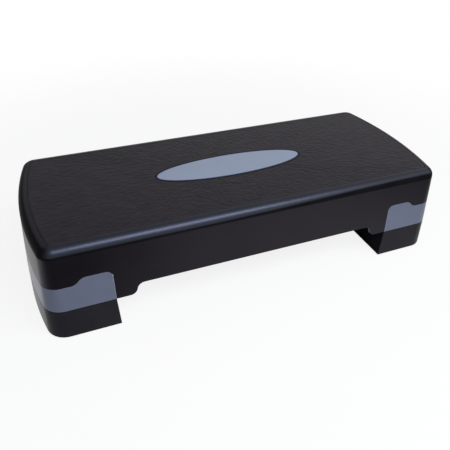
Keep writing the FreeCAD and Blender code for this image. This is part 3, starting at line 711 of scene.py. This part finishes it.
# A hexagon-headed screw that points up from its seat, with a rolled thread and a blunt tip
def screwForm(material):
    graph, points, sizes = newGeometry("screwForm", *screw["sizes"])
    headWidth, headHeight, shankWidth, shankLength, pitch = sizes
    core = shankWidth / 2 - screw["threadDepth"]
    chamfer, tip = headHeight * screw["chamferShare"], shankLength * screw["tipShare"]
    thread = shankLength - tip
    prism = graph.node("GeometryNodeMeshCylinder", None, {
        "Vertices": screw["headSides"], "Radius": headWidth / 2, "Depth": headHeight - chamfer})
    crown = graph.node("GeometryNodeMeshCone", None, {
        "Vertices": screw["headSides"], "Radius Top": headWidth / 2,
        "Radius Bottom": headWidth / 2 - chamfer, "Depth": chamfer})
    rod = graph.node("GeometryNodeMeshCylinder", None, {
        "Vertices": screw["rodSides"], "Radius": core, "Depth": thread})
    point = graph.node("GeometryNodeMeshCone", None, {
        "Vertices": screw["rodSides"], "Radius Top": core / 2, "Radius Bottom": core, "Depth": tip})
    spiral = graph.node("GeometryNodeCurveSpiral", None, {
        "Resolution": screw["turnSteps"], "Rotations": thread / pitch, "Start Radius": core,
        "End Radius": core, "Height": thread})
    ridge = graph.node("GeometryNodeCurvePrimitiveCircle", None, {
        "Resolution": screw["ridgeSides"], "Radius": screw["threadDepth"]})
    rolled = graph.node("GeometryNodeCurveToMesh", None, {
        "Curve": spiral, "Profile Curve": ridge, "Fill Caps": True})
    whole = graph.joined(graph.moved(prism, 0, 0, (headHeight - chamfer) / -2),
                         graph.moved(crown, 0, 0, headHeight * -1), graph.moved(rod, 0, 0, thread / 2),
                         graph.moved(point, 0, 0, thread), rolled)
    return finishGeometry(graph, graph.scattered(points, whole), material)


# Where each screw's head seats, two to a node
def screwSeats(node):
    low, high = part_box(node)
    inset = screw["sizes"]["Head width"] / 2 * math.cos(math.pi / screw["headSides"])
    level = low.z + screw["sizes"]["Head height"]
    return [((low.x + high.x) / 2, y, level) for y in (low.y + inset, high.y - inset)]


screwSteel = zincSteel("screwSteel", screw)
screwNodes = [side + "_band_screws" for side in sides]
screwPoints = pointMesh("bandScrews", [seat for node in screwNodes for seat in screwSeats(node)])
screwMesh = grown("bandScrews", screwPoints, screwForm(screwSteel), screw["sizes"])
addPiece("bandScrews", screwMesh, screwSteel, "deck", "screw_steel", *screwNodes)
print("screws done:", len(screwMesh.polygons), "faces")


# Studio

studio = {
    "floorHalf": 5, "floorColour": (0.9, 0.9, 0.9), "floorLevel": -0.0006,
    "floorGlow": 0.86, "glowReach": (0.45, 1.2),
    "dimPatches": ({"middle": (-0.42, -0.46, 0), "reach": (0.17, 0.44)},
                   {"middle": (0.8, -0.4, 0), "reach": (0.1, 0.66)}),
    "ambient": 0.26, "backdrop": 1, "skyTurn": (-0.1, 0.22), "skyLeast": 0.5,
    "cameraPlace": (-0.2874, -0.6568, 0.5501), "yaw": 0.4039, "pitch": 0.632, "roll": 0.032,
    "lens": 39.44, "sensor": 36,
}
lamps = (
    {"name": "key", "place": (0.19, -0.97, 1.33), "aim": (0.03, 0, 0.1), "size": (1.15, 0.52),
     "power": 18.5, "colour": (0.9, 0.94, 1), "mirrored": True},
    {"name": "sideFill", "place": (1.35, -0.7, 1.25), "aim": (0.2, 0, 0.1), "size": (1.3, 0.5),
     "power": 6.8, "colour": (1, 0.98, 0.96), "mirrored": False},
)


# One for rays of the named kind, nought for the rest
def rays(graph, kind):
    return graph.node("ShaderNodeLightPath", output=f"Is {kind} Ray")


# Pale paper that takes the shadow, looks white to the camera, and is mirrored with two dim patches
def makeFloor():
    half, level = studio["floorHalf"], studio["floorLevel"]
    mesh = bpy.data.meshes.new("floor")
    corners = [(-half, -half, level), (half, -half, level), (half, half, level), (-half, half, level)]
    mesh.from_pydata(corners, [], [(0, 1, 2, 3)])
    material, graph = newMaterial("floorPaper")
    paper = graph.node("ShaderNodeBsdfDiffuse", None, {"Color": opaque(studio["floorColour"])})
    glow = graph.node("ShaderNodeEmission", None, {"Color": (1, 1, 1, 1), "Strength": 1})
    place = graph.node("ShaderNodeTexCoord", output="Object")
    reach = graph.node("ShaderNodeVectorMath", {"operation": "LENGTH"}, {0: place}, "Value")
    white = graph.step(reach, *studio["glowReach"], studio["floorGlow"], 1)
    seen = graph.shaderMix(rays(graph, "Camera") * white, paper, glow)
    lit = 1
    for patch in studio["dimPatches"]:
        spots = {0: place, 1: patch["middle"]}
        away = graph.node("ShaderNodeVectorMath", {"operation": "DISTANCE"}, spots, "Value")
        lit = graph.step(away, *patch["reach"]) * lit
    dim = graph.node("ShaderNodeEmission", None, {"Color": (1, 1, 1, 1), "Strength": 0})
    sheen = graph.shaderMix(lit, dim, glow)
    finishMaterial(graph, graph.shaderMix(rays(graph, "Glossy"), seen, sheen))
    mesh.materials.append(material)
    floor = bpy.data.objects.new("floor", mesh)
    bpy.context.scene.collection.objects.link(floor)


# White to the camera, a soft light all round, and mirrored dimmer towards the left
def makeWorld():
    world = bpy.data.worlds.new("studioAir")
    world.use_nodes = True
    world.node_tree.nodes.clear()
    graph = Graph(world.node_tree)
    toward = graph.axis(graph.node("ShaderNodeTexCoord", output="Generated"), "X")
    sky = graph.step(toward, *studio["skyTurn"], studio["skyLeast"], 1)
    shown = rays(graph, "Camera") + rays(graph, "Glossy") * sky
    strength = studio["ambient"] + shown * (studio["backdrop"] - studio["ambient"])
    air = graph.node("ShaderNodeBackground", None, {"Color": (1, 1, 1, 1), "Strength": strength})
    target = graph.tree.nodes.new("ShaderNodeOutputWorld")
    graph.feed(target.inputs["Surface"], air)
    bpy.context.scene.world = world


def makeLamp(look):
    light = bpy.data.lights.new(look["name"], "AREA")
    light.shape = "RECTANGLE"
    light.size, light.size_y = look["size"]
    light.energy = look["power"]
    light.color = look["colour"]
    lamp = bpy.data.objects.new(look["name"], light)
    bpy.context.scene.collection.objects.link(lamp)
    lamp.visible_glossy = look["mirrored"]
    lamp.location = look["place"]
    toAim = Vector(look["aim"]) - Vector(look["place"])
    lamp.rotation_euler = toAim.to_track_quat("-Z", "Y").to_euler()


# The camera that was fitted to the photograph's outline
def makeCamera():
    yaw, pitch, roll = studio["yaw"], studio["pitch"], studio["roll"]
    along = math.cos(pitch)
    ahead = Vector((math.sin(yaw) * along, math.cos(yaw) * along, -math.sin(pitch)))
    right = Vector((math.cos(yaw), -math.sin(yaw), 0))
    up = right.cross(ahead)
    level = right * math.cos(roll) + up * math.sin(roll)
    upright = up * math.cos(roll) - right * math.sin(roll)
    turn = Matrix((level, upright, -ahead)).transposed().to_4x4()
    lens = bpy.data.cameras.new("photoCamera")
    lens.sensor_width = studio["sensor"]
    lens.lens = studio["lens"]
    camera = bpy.data.objects.new("photoCamera", lens)
    bpy.context.scene.collection.objects.link(camera)
    camera.matrix_world = Matrix.Translation(studio["cameraPlace"]) @ turn
    bpy.context.scene.camera = camera


makeFloor()
makeWorld()
for look in lamps:
    makeLamp(look)
makeCamera()
bpy.context.scene.view_settings.view_transform = "Standard"
print("studio done")
